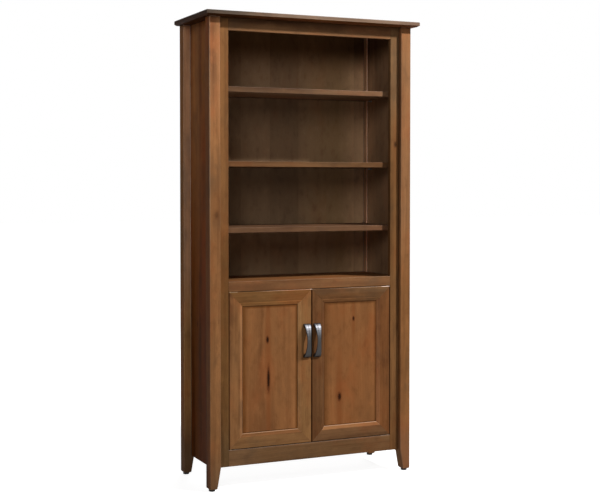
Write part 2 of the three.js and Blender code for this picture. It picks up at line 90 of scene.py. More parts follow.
class Graph:
    """One material's nodes, with a method for each kind of step."""

    def __init__(self, name):
        self.material = bpy.data.materials.new(name)
        self.material.use_nodes = True
        self.tree = self.material.node_tree
        self.tree.nodes.clear()

    def add(self, kind, inputs=None, **settings):
        node = self.tree.nodes.new(kind)
        for key, value in settings.items():
            setattr(node, key, value)
        for key, value in (inputs or {}).items():
            self.put(node.inputs[key], value)
        return node

    def put(self, socket, value):
        if isinstance(value, bpy.types.NodeSocket):
            self.tree.links.new(value, socket)
        else:
            socket.default_value = value

    def place(self):
        """Where on the piece a point lies, in the piece's own metres."""
        return self.add("ShaderNodeTexCoord").outputs["Object"]

    def axes(self, vector):
        return self.add("ShaderNodeSeparateXYZ", {0: vector}).outputs

    def math(self, operation, first, second=0.0):
        return self.add("ShaderNodeMath", {0: first, 1: second}, operation=operation).outputs[0]

    def sum(self, *values):
        total = values[0]
        for value in values[1:]:
            total = self.math("ADD", total, value)
        return total

    def product(self, *values):
        total = values[0]
        for value in values[1:]:
            total = self.math("MULTIPLY", total, value)
        return total

    def distance(self, first, second):
        squares = self.sum(self.product(first, first), self.product(second, second))
        return self.math("SQRT", squares)

    def centred(self, noise):
        """The same noise, swinging to both sides of 0."""
        return self.sum(noise, -0.5)

    def vector(self, x, y, z):
        return self.add("ShaderNodeCombineXYZ", {0: x, 1: y, 2: z}).outputs[0]

    def noise(self, place, scale, detail=2.0, roughness=0.5):
        inputs = {"Vector": place, "Scale": scale, "Detail": detail, "Roughness": roughness}
        return self.add("ShaderNodeTexNoise", inputs).outputs[0]

    def span(self, value, low, high, to_low=0.0, to_high=1.0):
        inputs = {"Value": value, "From Min": low, "From Max": high, "To Min": to_low, "To Max": to_high}
        return self.add("ShaderNodeMapRange", inputs, interpolation_type="SMOOTHSTEP").outputs[0]

    def ramp(self, value, stops):
        node = self.add("ShaderNodeValToRGB", {0: value})
        elements = node.color_ramp.elements
        while len(elements) > 1:
            elements.remove(elements[-1])
        elements[0].position, elements[0].color = stops[0]
        for position, colour in stops[1:]:
            elements.new(position).color = colour
        return node.outputs[0]

    def mix(self, share, first, second, blend="MIX"):
        node = self.add("ShaderNodeMix", data_type="RGBA", blend_type=blend)
        self.put(node.inputs[0], share)
        self.put(node.inputs[MIX_FIRST], first)
        self.put(node.inputs[MIX_SECOND], second)
        return node.outputs[MIX_RESULT]

    def finish(self, colour, roughness, height, bump, **sockets):
        """The surface. bump is the length that a height of 1 stands for."""
        shader = self.add("ShaderNodeBsdfPrincipled", {"Base Color": colour, "Roughness": roughness})
        for name, value in sockets.items():
            shader.inputs[name.replace("_", " ")].default_value = value
        normal = self.add("ShaderNodeBump", {"Height": height, "Distance": bump, "Strength": 1.0})
        self.put(shader.inputs["Normal"], normal.outputs[0])
        output = self.add("ShaderNodeOutputMaterial")
        self.put(output.inputs[0], shader.outputs[0])
        return self.material


def rgb(red, green, blue):
    """A colour written as it shows on a screen, 0 to 255, as Blender's linear values."""

    def linear(value):
        share = value / 255
        return share / 12.92 if share <= 0.04045 else ((share + 0.055) / 1.055) ** 2.4

    return (linear(red), linear(green), linear(blue), 1.0)


# The wood's colours and marks

BODY = rgb(127, 84, 50)
HONEY = rgb(151, 101, 61)
UMBER = rgb(88, 54, 31)
RUSSET = rgb(136, 78, 43)
GLAZE = rgb(90, 66, 45)
# Painted shade for inner corners and joints
PAINTED_CORNER_SHADE = rgb(40, 24, 14)
# Painted highlight for arrises
PAINTED_ARRIS_HIGHLIGHT = rgb(198, 158, 126)
KNOT_HALO = rgb(112, 60, 30)
KNOT_RIM = rgb(74, 38, 20)
KNOT_CORE = rgb(34, 20, 11)
PORE = rgb(64, 38, 22)
GROUND = ((0.28, UMBER), (0.46, BODY), (0.54, BODY), (0.74, HONEY))

# Streaks: how many to a metre along and across the grain, their detail and their roughness
STREAKS = {
    "broad": (1.0, 17.0, 2.0, 0.5),
    "narrow": (2.6, 60.0, 2.0, 0.5),
    "patch": (4.5, 9.0, 3.0, 0.6),
    "cloud": (16.0, 30.0, 4.0, 0.65),
    "fibre": (16.0, 460.0, 2.0, 0.55),
    "pore": (75.0, 1400.0, 1.0, 0.55),
}
WEAVE = (2.6, 5.0, 1.0, 0.55)
RING_DRIFT = (1.3, 4.0, 1.0, 0.55)
RING_RIPPLE = (5.0, 16.0, 3.0, 0.55)
PORE_LIMITS = (0.62, 0.74)
# Layers of colour, laid on in turn: the streaks that carry each, where in them it begins and is whole, the
# share that it then covers, the power of the piece's figure that weakens it, and the colour
LAYERS = (
    ("narrow", 0.50, 0.26, 0.40, 1.0, UMBER),
    ("narrow", 0.54, 0.78, 0.30, 1.0, HONEY),
    ("patch", 0.50, 0.72, 0.62, 0.5, RUSSET),
    ("patch", 0.48, 0.28, 0.55, 1.0, GLAZE),
    ("cloud", 0.50, 0.28, 0.36, 0.0, UMBER),
    ("cloud", 0.52, 0.74, 0.30, 0.0, HONEY),
)
RING_SHARE = 0.10
FIBRE_SPAN = (0.40, 0.72)
FIBRE_SHARE = 0.12
PORE_SHARE = 0.30
# How much each mark adds to the roughness, and to the relief as a share of WOOD_BUMP
WOOD_ROUGHNESS = 0.42
ROUGHNESS_SHARES = {"fibre": 0.12, "pore": 0.12}
RELIEF_SHARES = {"fibre": 0.4, "pore": -1.0, "ring": 0.2}
KNOT_RELIEF_SHARE = -3.0
WOOD_BUMP = 0.00010
WOOD_SHINE = 0.012

# How far each board's grain is moved on, and how far it weaves
BOARD_STEP = 3.71
WEAVE_SWING = 0.022
# Staves: the part of a width that the joints move on from board to board, the steps in the grain from
# stave to stave, and the range of their tones
STAVE_SHIFT_SHARE = 0.37
STAVE_STEP = 1.93
STAVE_SIDESTEP = 0.21
STAVE_TONES = (0.86, 1.08)

# Growth rings round a centre under the board's face. The centre's offset and lean swing from board to
# board, by a turn that is the board's number times the one given here
RING_SPACING = 0.0085
RING_CENTRE_DEPTH = 0.08
RING_OFFSET = 0.035
RING_OFFSET_TURN = 5.1
RING_LEAN_SHARE = 0.04
RING_LEAN_TURN = 2.3
RING_DRIFT_SWING = 0.1
RING_RIPPLE_SWING = 0.02
RING_RISE = (0.15, 0.82)
RING_FALL = (1.0, 0.86)

# Knots: the distances, in a knot's radii, at which each mark begins and is whole, and the share that it
# covers. The halo and the bend of the grain count the way along the grain for less
KNOT_RIPPLES_PER_METRE = 210.0
KNOT_BEND_RADII = (6.0, 0.4)
KNOT_BEND_SHARE = 0.75
KNOT_BEND_ALONG_SHARE = 0.5
KNOT_HALO_RADII = (3.2, 0.6)
KNOT_HALO_SHARE = 0.45
KNOT_HALO_ALONG_SHARE = 0.16
KNOT_RIM_RADII = (1.9, 0.9)
KNOT_RIM_SHARE = 0.75
KNOT_CORE_RADII = (1.05, 0.6)
KNOT_CORE_SHARE = 0.95

# Painted shade in inner corners and painted highlights on arrises: how far round itself a point looks, how
# open the space there is where the mark begins and is whole, and how strong the mark gets. The highlight
# grows with how far an arris faces up
OCCLUSION_SAMPLES = 8
CORNER_REACH = 0.0045
CORNER_OPENNESS = (0.92, 0.50)
CORNER_STRENGTH = 0.80
HIGHLIGHT_REACH = 0.0025
HIGHLIGHT_OPENNESS = (0.96, 0.60)
HIGHLIGHT_RISE = (0.15, 0.6)
HIGHLIGHT_ABOVE = 0.55
HIGHLIGHT_BESIDE = 0.45

# The pieces' own marks, stains, and painted light and shade

# Which way the grain runs: the axes along the fibres, across the board and into it
UPRIGHT = "ZXY"
UPRIGHT_SIDE = "ZYX"
RAIL = "XZY"
FLAT = "XYZ"
DEPTH = "YXZ"

# Knots in a piece: place along and across the grain, radius, how much longer than wide, and darkness
KNOTS = {
    "left_door_panel": [(0.569, -0.1865, 0.0050, 2.2, 1.0), (0.414, -0.1824, 0.0052, 7.5, 1.0)],
    "right_door_panel": [(0.634, 0.189, 0.0040, 2.0, 0.9), (0.323, 0.1267, 0.0066, 2.1, 0.95)],
    "right_frame_stile": [(1.336, 0.375, 0.0060, 1.6, 0.7)],
    "front_left_post": [(1.058, -0.407, 0.0085, 1.5, 0.3)],
    "back_panel": [(0.52, 0.16, 0.011, 1.5, 0.8), (0.31, -0.21, 0.008, 1.6, 0.8)],
    "left_side_panel": [(0.62, 0.07, 0.006, 1.8, 0.4)],
    "right_side_panel": [(0.46, 0.02, 0.009, 1.6, 0.8)],
    "top_board": [(0.21, 0.04, 0.012, 1.6, 0.8), (-0.28, -0.09, 0.008, 1.6, 0.8)],
    "cabinet_bottom": [(0.15, 0.02, 0.009, 1.5, 0.8)],
}

# A piece's stain, which multiplies the wood's colour; the front left post's is partly painted light
PLAIN = (1.0, 1.0, 1.0)
TINTS = {
    "top_board": (0.58, 0.50, 0.50),
    # Partly painted light: lightens the front left post
    "front_left_post": (1.48, 1.58, 1.66),
    "front_right_post": (0.95, 1.06, 1.24),
    "left_frame_stile": (0.95, 1.03, 1.03),
    "right_frame_stile": (0.76, 0.94, 1.12),
    "frame_top_rail": (0.79, 0.93, 1.14),
    "cabinet_deck": (0.86, 0.86, 0.84),
    "frame_mid_rail": (1.03, 1.15, 1.33),
    "frame_bottom_rail": (0.66, 0.80, 0.95),
    "left_door_panel": (1.03, 1.04, 1.04),
    "right_door_panel": (0.95, 0.92, 0.88),
    "left_door_hinge_stile": (1.04, 1.13, 1.19),
    "left_door_lock_stile": (0.94, 1.09, 1.13),
    "left_door_top_rail": (0.74, 0.82, 0.77),
    "left_door_bottom_rail": (1.06, 1.23, 1.31),
    "right_door_hinge_stile": (0.72, 0.67, 0.64),
    "right_door_lock_stile": (0.54, 0.57, 0.62),
    "right_door_top_rail": (0.69, 0.75, 0.80),
    "right_door_bottom_rail": (0.72, 0.83, 0.99),
    "left_side_panel": (1.42, 1.02, 0.56),
    "rear_left_post": (1.30, 1.16, 0.66),
    "upper_shelf": (0.82, 1.07, 1.55),
    "middle_shelf": (0.63, 0.74, 0.89),
    "lower_shelf": (0.64, 0.77, 1.09),
}


# Parts of the pieces that have a tint of their own: a stain, or painted light and shade


def mirrored(limit):
    """The same limit on the other side of the middle."""
    axis, begins, whole = limit
    return (axis, -begins, -whole)


# A limit is an axis with where a part begins and where it is whole. A part lies past all of its limits
TOP_BOARD_END = ("X", -0.4571, -0.4565)
BAYS_FROM = ("Z", 0.790, 0.800)
UNDER_THE_TOP = ("Z", 1.640, 1.755)
BACK_INSIDE = ("Y", 0.1730, 0.1720)
REAR_POST_FRONT = ("Y", 0.1480, 0.1470)
RIGHT_POST_INSIDE = ("X", 0.3955, 0.3945)
LEFT_POST_INSIDE = mirrored(RIGHT_POST_INSIDE)
RIGHT_SIDE_INSIDE = ("X", 0.397, 0.396)
LEFT_SIDE_INSIDE = mirrored(RIGHT_SIDE_INSIDE)
LEFT_SIDE_FRONT = ("Y", 0.06, -0.01)
DOOR_TOP_BEVEL = ("Z", 0.7185, 0.7165)
DOOR_TOP_ARRIS = ("Z", 0.7580, 0.7592)
# Painted light for the inner faces of the bays
PAINTED_BAY_LIGHT = (1.14, 1.66, 2.50)
# The edges of the doors' panels, from the middle and from the floor, and the widths of the darker rims of
# painted shade along them
PANEL_NEAR = 0.0580
PANEL_FAR = 0.2925
PANEL_FOOT = 0.210
PANEL_HEAD = 0.703
RIM_WIDTH = 0.0042
RIM_SOLID = 0.0018
LEFT_BAND = 0.028
RIGHT_BAND = 0.014
TOP_BAND = 0.013


def painted_panel_shade(left, right, tint, band_tint):
    """Painted shade along the four edges of a door's panel, over the dark line of its joint, and in a
    broader band at its sides and top.
    """
    bands = [
        ([("X", left + LEFT_BAND, left + RIM_WIDTH)], band_tint),
        ([("X", right - RIGHT_BAND, right - RIM_WIDTH)], band_tint),
        ([("Z", PANEL_HEAD - TOP_BAND, PANEL_HEAD - RIM_WIDTH)], band_tint),
    ]
    edges = (("X", left, 1), ("X", right, -1), ("Z", PANEL_FOOT, 1), ("Z", PANEL_HEAD, -1))
    return bands + [
        ([(axis, edge + way * RIM_WIDTH, edge + way * RIM_SOLID)], tint) for axis, edge, way in edges
    ]


# Each entry has its part's limits and the tint that takes the place of the one under it
PART_TINTS_AND_PAINTED_LIGHT = {
    "top_board": [
        ([TOP_BOARD_END], (0.80, 0.65, 0.55)),
        # Painted reflection: the top board's upper edge and top paler and greyer
        ([("Z", 1.814, 1.8155), TOP_BOARD_END], (1.25, 2.00, 3.70)),
    ],
    "left_frame_stile": [
        ([("Z", 1.1, 0.85)], (0.72, 0.80, 0.74)),
        ([("Z", 0.30, 0.14)], (0.56, 0.72, 0.82)),
    ],
    "frame_bottom_rail": [
        ([("X", -0.18, -0.30)], (0.77, 0.97, 1.24)),
        # Painted highlight along the bottom rail's upper edge
        ([("Z", 0.1430, 0.1470)], (0.93, 1.18, 1.58)),
    ],
    # Painted shade: the mid rail's lower edge darker over the right door
    "frame_mid_rail": [([("Z", 0.7655, 0.7635), ("X", 0.02, 0.05)], (0.55, 0.55, 0.52))],
    "right_frame_stile": [([("Z", 1.6, 1.25)], (0.65, 0.71, 0.72))],
    "front_right_post": [
        ([("Z", 1.1, 0.7)], (0.96, 0.99, 0.96)),
        ([("Z", 0.24, 0.12)], (0.79, 0.96, 1.23)),
    ],
    "front_left_post": [
        # Painted light: the front left post lighter towards its top
        ([("Z", 1.25, 1.65)], (1.58, 1.72, 2.00)),
        ([("Z", 0.20, 0.03)], (1.10, 1.34, 1.70)),
        ([("X", -0.4343, -0.4349), ("Y", -0.1540, -0.1520)], (1.03, 0.84, 0.55)),
        # Painted highlight: a pale line down the post's outer front arris
        ([("X", -0.4300, -0.4325), ("Y", -0.1500, -0.1545), ("Z", 0.7, 1.3)], (2.10, 2.80, 3.80)),
    ],
    # Painted light and shade in the bays: the back lighter, most towards the right and lower right, and
    # darker under the top
    "back_panel": [
        ([BACK_INSIDE, BAYS_FROM], (1.39, 2.08, 3.25)),
        ([BACK_INSIDE, BAYS_FROM, ("X", 0.02, 0.26)], (1.75, 2.52, 3.45)),
        ([BACK_INSIDE, BAYS_FROM, ("X", 0.26, 0.39)], (3.50, 5.10, 7.80)),
        ([BACK_INSIDE, BAYS_FROM, ("Z", 1.02, 0.96), ("X", 0.30, 0.20)], (1.70, 2.50, 3.80)),
        ([BACK_INSIDE, UNDER_THE_TOP], (0.72, 0.92, 1.06)),
    ],
    "left_side_panel": [
        # Painted light: the left side lighter towards the top
        ([("Z", 0.7, 1.5)], (1.76, 1.68, 1.63)),
        ([LEFT_SIDE_FRONT], (1.36, 0.76, 0.20)),
        ([LEFT_SIDE_FRONT, ("Z", 1.3, 1.6)], (1.62, 1.36, 0.90)),
        # Painted light in the bays
        ([LEFT_SIDE_INSIDE, BAYS_FROM], PAINTED_BAY_LIGHT),
    ],
    # Painted light in the bays, most towards the back, and painted shade under the top
    "right_side_panel": [
        ([RIGHT_SIDE_INSIDE, BAYS_FROM], (1.25, 1.72, 2.55)),
        ([RIGHT_SIDE_INSIDE, BAYS_FROM, ("Y", 0.02, 0.14)], (2.10, 2.90, 4.30)),
        ([RIGHT_SIDE_INSIDE, UNDER_THE_TOP], (0.72, 0.95, 1.30)),
    ],
    "rear_left_post": [
        # Painted shade: darker near the floor
        ([("Z", 0.25, 0.10)], (0.85, 0.90, 0.80)),
        # Painted light on the post's front face, less low down
        ([REAR_POST_FRONT], (2.20, 2.80, 4.10)),
        ([REAR_POST_FRONT, ("Z", 0.9, 0.5)], (2.05, 2.45, 2.40)),
        ([REAR_POST_FRONT, ("Z", 0.30, 0.06)], (0.92, 1.29, 1.80)),
        # Painted light in the bays
        ([LEFT_POST_INSIDE, BAYS_FROM], PAINTED_BAY_LIGHT),
    ],
    # Painted light in the bays, most on the post's front face
    "rear_right_post": [
        ([RIGHT_POST_INSIDE, BAYS_FROM], (2.00, 2.80, 4.30)),
        ([RIGHT_POST_INSIDE, BAYS_FROM, REAR_POST_FRONT], (3.40, 4.00, 5.40)),
    ],
    # Painted shade round the doors' panels
    "left_door_panel": painted_panel_shade(-PANEL_FAR, -PANEL_NEAR, (0.42, 0.38, 0.36), (0.62, 0.56, 0.44)),
    "right_door_panel": painted_panel_shade(PANEL_NEAR, PANEL_FAR, (0.46, 0.40, 0.36), (0.60, 0.56, 0.50)),
    # Painted light on the top bevel and a painted highlight along the top arris
    "left_door_top_rail": [
        ([DOOR_TOP_BEVEL, ("Z", 0.7035, 0.7050)], (1.65, 1.80, 1.65)),
        ([DOOR_TOP_ARRIS, ("X", -0.25, -0.15)], (2.90, 3.60, 5.00)),
    ],
    # Painted light on the top bevel and a painted highlight along the top arris
    "right_door_top_rail": [
        ([DOOR_TOP_BEVEL, ("Z", 0.7035, 0.7060)], (1.30, 1.40, 1.45)),
        ([("Z", 0.7330, 0.7450)], (0.90, 1.11, 1.33)),
        ([DOOR_TOP_ARRIS, ("X", 0.10, 0.20)], (2.30, 3.10, 4.60)),
    ],
    "left_door_bottom_rail": [([("Z", 0.1950, 0.1970)], (1.00, 1.00, 0.95))],
    "right_door_bottom_rail": [([("Z", 0.1940, 0.1960)], (1.04, 1.09, 1.14))],
    # Painted highlight on the bevel beside the panel
    "left_door_hinge_stile": [([("X", -0.3065, -0.3050)], (1.25, 1.38, 1.55))],
    # Painted light on the bevel, and painted shade at the edge along the gap between the doors
    "left_door_lock_stile": [
        ([("X", -0.0440, -0.0460)], (1.80, 2.20, 2.40)),
        ([("X", -0.0045, -0.0025)], (0.22, 0.18, 0.16)),
    ],
    # Painted shade at the edge along the gap between the doors
    "right_door_lock_stile": [([("X", 0.0035, 0.0020)], (0.38, 0.36, 0.34))],
    # Painted light on the bevel, and painted shade at the door's outer edge
    "right_door_hinge_stile": [
        ([("X", 0.3065, 0.3050)], (1.12, 1.12, 1.25)),
        ([("X", 0.3470, 0.3485)], (0.30, 0.25, 0.22)),
    ],
}

# How a piece's tone changes along the grain: the place where it begins to change, the place from which on
# it is 1, and the tone up to the first place
EVEN = (0.0, 1.0, 1.0)
FADES = {
    "top_board": (-0.50, 0.05, 0.34),
    # Painted shade: the left side and the rear left post darker towards the floor
    "left_side_panel": (0.2, 1.6, 0.38),
    "rear_left_post": (0.2, 1.6, 0.7),
    # Painted light: the back panel lighter in the top bay than below it
    "back_panel": (1.48, 1.60, 0.79),
    # Painted light: the front left post lighter towards its top
    "front_left_post": (1.0, 1.65, 0.67),
    "front_right_post": (0.2, 0.7, 1.22),
    "left_door_panel": (0.30, 0.60, 1.08),
    "right_door_panel": (0.30, 0.60, 1.10),
}
# How strong a piece's streaks are
FULL_FIGURE = 1.0
FIGURES = {"back_panel": 0.15, "right_side_panel": 0.4, "left_door_panel": 0.6, "right_door_panel": 0.6}
# Pieces glued up from staves
STAVE_WIDTHS = {
    "top_board": 0.095,
    "back_panel": 0.130,
    "left_side_panel": 0.098,
    "right_side_panel": 0.098,
}
SHELF_STAVE = 0.093

slot_of = {row["node"]: row["material_slot"] for row in frame["record"]["subparts"]}


def grain_of(node):
    if node == "back_panel" or node.endswith(("_post", "_stile", "door_panel")):
        return UPRIGHT
    if node.endswith("side_panel"):
        return UPRIGHT_SIDE
    if node.endswith("_rail"):
        return RAIL
    if node.endswith("_cleat"):
        return DEPTH
    return FLAT


def stave_of(node):
    return SHELF_STAVE if slot_of[node] == "wood_shelf" else STAVE_WIDTHS.get(node)


# Wood


class Wood(Graph):
    """Solid wood, as one board or as staves. grain is one of the ways that the grain runs."""

    def __init__(self, name, grain, seed, stave_width):
        super().__init__(name)
        self.places = self.axes(self.place())
        self.run, self.side, self.deep = (self.places["XYZ".index(letter)] for letter in grain)
        self.along = self.sum(self.run, BOARD_STEP * seed)
        self.across = self.side
        weave = self.streaks(*WEAVE)
        self.across = self.sum(self.across, self.product(self.centred(weave), WEAVE_SWING))
        self.stave_tone = 1.0
        if stave_width:
            self.cut_into_staves(stave_width, seed)

    def cut_into_staves(self, width, seed):
        """Boards glued edge to edge, each with its own stretch of grain and its own tone."""
        stave = self.math("FLOOR", self.sum(self.product(self.side, 1 / width), STAVE_SHIFT_SHARE * seed))
        draw = self.add("ShaderNodeTexWhiteNoise", {"W": self.sum(stave, seed)}, noise_dimensions="1D")
        chance = draw.outputs["Value"]
        self.stave_tone = self.span(chance, 0.0, 1.0, *STAVE_TONES)
        self.along = self.sum(self.along, self.product(stave, STAVE_STEP))
        self.across = self.sum(self.across, self.product(chance, STAVE_SIDESTEP))

    def streaks(self, per_metre, across_per_metre, detail, roughness):
        place = self.vector(
            self.product(self.along, per_metre),
            self.product(self.across, across_per_metre),
            self.product(self.deep, across_per_metre),
        )
        return self.noise(place, 1.0, detail, roughness)

    def grow_knots(self, knots):
        """Bends the grain round each knot and returns how much halo, rim and core there is."""
        halo, rim, core = 0.0, 0.0, 0.0
        for along_at, across_at, radius, stretch, strength in knots:

            def around(distance, radii, whole):
                return self.span(distance, radii[0] * radius, radii[1] * radius, 0.0, whole)

            run = self.math("SUBTRACT", self.run, along_at)
            side = self.math("SUBTRACT", self.side, across_at)
            ripple = self.noise(self.vector(self.run, self.side, 0.0), KNOT_RIPPLES_PER_METRE)
            wobble = self.product(self.centred(ripple), radius)
            near = self.distance(self.product(run, KNOT_BEND_ALONG_SHARE / stretch), side)
            centre = self.sum(self.distance(self.product(run, 1 / stretch), side), wobble)
            trail = self.distance(self.product(run, KNOT_HALO_ALONG_SHARE / stretch), side)
            pull = around(near, KNOT_BEND_RADII, KNOT_BEND_SHARE)
            self.across = self.math("SUBTRACT", self.across, self.product(side, pull))
            halo = self.math("MAXIMUM", halo, around(trail, KNOT_HALO_RADII, strength))
            rim = self.math("MAXIMUM", rim, around(centre, KNOT_RIM_RADII, strength))
            core = self.math("MAXIMUM", core, around(centre, KNOT_CORE_RADII, strength))
        return halo, rim, core

    def corners(self):
        """Painted shade along inner corners and joints, where little of the room can be seen."""
        inputs = {"Distance": CORNER_REACH}
        around = self.add("ShaderNodeAmbientOcclusion", inputs, samples=OCCLUSION_SAMPLES)
        return self.span(around.outputs["AO"], *CORNER_OPENNESS, 0.0, CORNER_STRENGTH)

    def painted_arris_highlights(self, beside):
        """Painted highlights on the arrises that face up, and weaker ones on the arrises beside them."""
        inputs = {"Distance": HIGHLIGHT_REACH}
        behind = self.add("ShaderNodeAmbientOcclusion", inputs, samples=OCCLUSION_SAMPLES, inside=True)
        edge = self.span(behind.outputs["AO"], *HIGHLIGHT_OPENNESS)
        normal = self.add("ShaderNodeNewGeometry").outputs["Normal"]
        return self.product(edge, self.span(self.axes(normal)["Z"], *HIGHLIGHT_RISE, beside, HIGHLIGHT_ABOVE))

    def within(self, limits):
        """1 in the part of a piece that lies past every limit."""
        return self.product(*(self.span(self.places[axis], begins, whole) for axis, begins, whole in limits))

    def rings(self, seed):
        """The growth rings that the board cuts, 0 to 1 towards the late wood of each ring."""
        lean = RING_LEAN_SHARE * math.sin(RING_LEAN_TURN * seed)
        offset = RING_OFFSET * math.sin(RING_OFFSET_TURN * seed)
        drift = self.product(self.streaks(*RING_DRIFT), RING_DRIFT_SWING)
        ripple = self.product(self.streaks(*RING_RIPPLE), RING_RIPPLE_SWING)
        ring_side = self.sum(self.across, self.product(self.along, lean), drift, offset)
        ring_deep = self.sum(self.deep, RING_CENTRE_DEPTH)
        radius = self.sum(self.distance(ring_side, ring_deep), ripple)
        ring = self.math("FRACT", self.product(radius, 1 / RING_SPACING))
        return self.product(self.span(ring, *RING_RISE), self.span(ring, *RING_FALL))

    def weighed(self, marks, shares):
        """The marks added up, each by its share."""
        return self.sum(*(self.product(marks[name], share) for name, share in shares.items()))


def layer_colours(graph, marks, figure):
    """The bare wood's colour, from its broad streaks to its pores."""
    colour = graph.ramp(marks["broad"], GROUND)
    colour = graph.mix(FULL_FIGURE - figure, colour, BODY)
    for name, begins, whole, share, power, overlay in LAYERS:
        cover = graph.span(marks[name], begins, whole, 0.0, share * figure**power)
        colour = graph.mix(cover, colour, overlay)
    colour = graph.mix(graph.product(marks["ring"], RING_SHARE * figure), colour, UMBER)
    colour = graph.mix(graph.span(marks["fibre"], *FIBRE_SPAN, 0.0, FIBRE_SHARE * figure), colour, UMBER)
    return graph.mix(graph.product(marks["pore"], PORE_SHARE), colour, PORE)


def stains_and_painted_light(graph, colour, node):
    """The colour under the piece's own tint, part tints and tones: stain, and on some pieces painted light
    and shade.
    """
    start, end, start_tone = FADES.get(node, EVEN)
    tone = graph.product(graph.stave_tone, graph.span(graph.run, start, end, start_tone, 1.0))
    overlay = (*TINTS.get(node, PLAIN), 1.0)
    for limits, part_tint in PART_TINTS_AND_PAINTED_LIGHT.get(node, ()):
        overlay = graph.mix(graph.within(limits), overlay, (*part_tint, 1.0))
    colour = graph.mix(1.0, colour, overlay, "MULTIPLY")
    return graph.mix(1.0, colour, graph.vector(tone, tone, tone), "MULTIPLY")


def wood(node, seed):
    """The wood of one piece, with the marks, stains, and painted light and shade that the tables give it."""
    graph = Wood(f"wood_{node}", grain_of(node), seed, stave_of(node))
    knots = KNOTS.get(node, ())
    halo, rim, core = graph.grow_knots(knots)
    marks = {name: graph.streaks(*numbers) for name, numbers in STREAKS.items()}
    marks["pore"] = graph.span(marks["pore"], *PORE_LIMITS)
    marks["ring"] = graph.rings(seed)

    colour = layer_colours(graph, marks, FIGURES.get(node, FULL_FIGURE))
    # Painted shade in inner corners and joints
    colour = graph.mix(graph.corners(), colour, PAINTED_CORNER_SHADE)
    # Painted highlights on the arrises that face up, and on posts also on their other arrises
    beside = HIGHLIGHT_BESIDE if node.endswith("_post") else 0.0
    colour = graph.mix(graph.painted_arris_highlights(beside), colour, PAINTED_ARRIS_HIGHLIGHT)
    height = graph.weighed(marks, RELIEF_SHARES)
    if knots:
        colour = graph.mix(graph.product(halo, KNOT_HALO_SHARE), colour, KNOT_HALO)
        colour = graph.mix(graph.product(rim, KNOT_RIM_SHARE), colour, KNOT_RIM)
        colour = graph.mix(graph.product(core, KNOT_CORE_SHARE), colour, KNOT_CORE)
        height = graph.sum(height, graph.product(core, KNOT_RELIEF_SHARE))
    colour = stains_and_painted_light(graph, colour, node)
    roughness = graph.sum(graph.weighed(marks, ROUGHNESS_SHARES), WOOD_ROUGHNESS)
    return graph.finish(colour, roughness, height, WOOD_BUMP, Specular_IOR_Level=WOOD_SHINE)


# Dressing the pieces that come from the CAD

WOOD_ARRIS = 0.8 * MM
METAL_ARRIS = 0.25 * MM
ARRIS_SEGMENTS = 2
ARRIS_ANGLE = math.radians(32)


def soften(obj, width):
    """Rounds the piece's own arrises a little, as sanding or tumbling does."""
    bevel = obj.modifiers.new("arris", "BEVEL")
    bevel.width = width
    bevel.segments = ARRIS_SEGMENTS
    bevel.limit_method = "ANGLE"
    bevel.angle_limit = ARRIS_ANGLE
    bevel.harden_normals = True
    for polygon in obj.data.polygons:
        polygon.use_smooth = True


def dress(node, material, arris):
    obj = frame["nodes"][node]
    obj.data.materials.clear()
    obj.data.materials.append(material)
    soften(obj, arris)


def dress_wood():
    wooden = sorted(node for node, slot in slot_of.items() if slot.startswith("wood"))
    for seed, node in enumerate(wooden, start=1):
        dress(node, wood(node, seed), WOOD_ARRIS)


# Metals and plastics

# Noises have their number to a metre, their detail and their roughness. Spans have where in the noise they
# begin and end, and the strengths there
METAL_BUMP = 0.02 * MM
METAL_DARK_SHARE = 0.55
TARNISH = (60.0, 3.0, 0.6)
TARNISH_SPAN = (0.35, 0.7, 0.0, 0.5)
BRUSH_STRETCH = (2600.0, 2600.0, 90.0)
BRUSH = (1.0, 3.0, 0.7)
BRUSH_SHARE = 0.25
BRUSH_ROUGHNESS = 0.08
# The pulls' form, and where painted shade darkens the pewter. Places on a pull are -1 to 1 from edge to edge
HANDLE_CENTRE = 22 * MM
HANDLE_HALF_WIDTH = 8.2 * MM
HANDLE_FLARE = 7.2 * MM
CROWN_RISE = 0.9 * MM
WHOLE_METRE = 1.0
# Painted shade and painted highlight: the pewter's colours at a pull's foot and top
PEWTER_DARK = rgb(62, 60, 59)
PEWTER_BRIGHT = rgb(103, 104, 109)
PEWTER_ROUGHNESS = 0.42
PEWTER_TARNISH = (90.0, 3.0, 0.6)
PEWTER_TARNISH_SHARE = 0.9
# Painted shade at the sides, in a line just off the middle, and at the outer edge
PEWTER_HOLLOW_SHARE = -0.8
PEWTER_PAINTED_LIGHT = (-0.3, 1.1)
PEWTER_STREAK_SHIFT_SHARE = 0.12
PEWTER_STREAK = (0.05, 0.34, 0.75, 0.0)
PEWTER_EDGE = (0.55, 0.95, 0.0, 0.6)
handle_low, handle_high = (Vector(corner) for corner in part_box("left_door_handle"))
PLASTIC_BUMP = 0.04 * MM
PLASTIC_SHINE = 0.2
PLASTIC_ROUGHNESS = 0.5
PLASTIC_GRAIN = (900.0, 2.0, 0.6)
PLASTIC_GRAIN_ROUGHNESS = 0.1
DUST = (70.0, 2.0, 0.5)
DUST_SPAN = (0.5, 0.8, 0.0, 0.4)
DUST_GAIN = 1.8
DUST_LIFT = 0.004


def brushed(graph, place):
    """Fine upright scratches."""
    stretched = graph.add("ShaderNodeMapping", {"Vector": place, "Scale": BRUSH_STRETCH}).outputs[0]
    return graph.noise(stretched, *BRUSH)


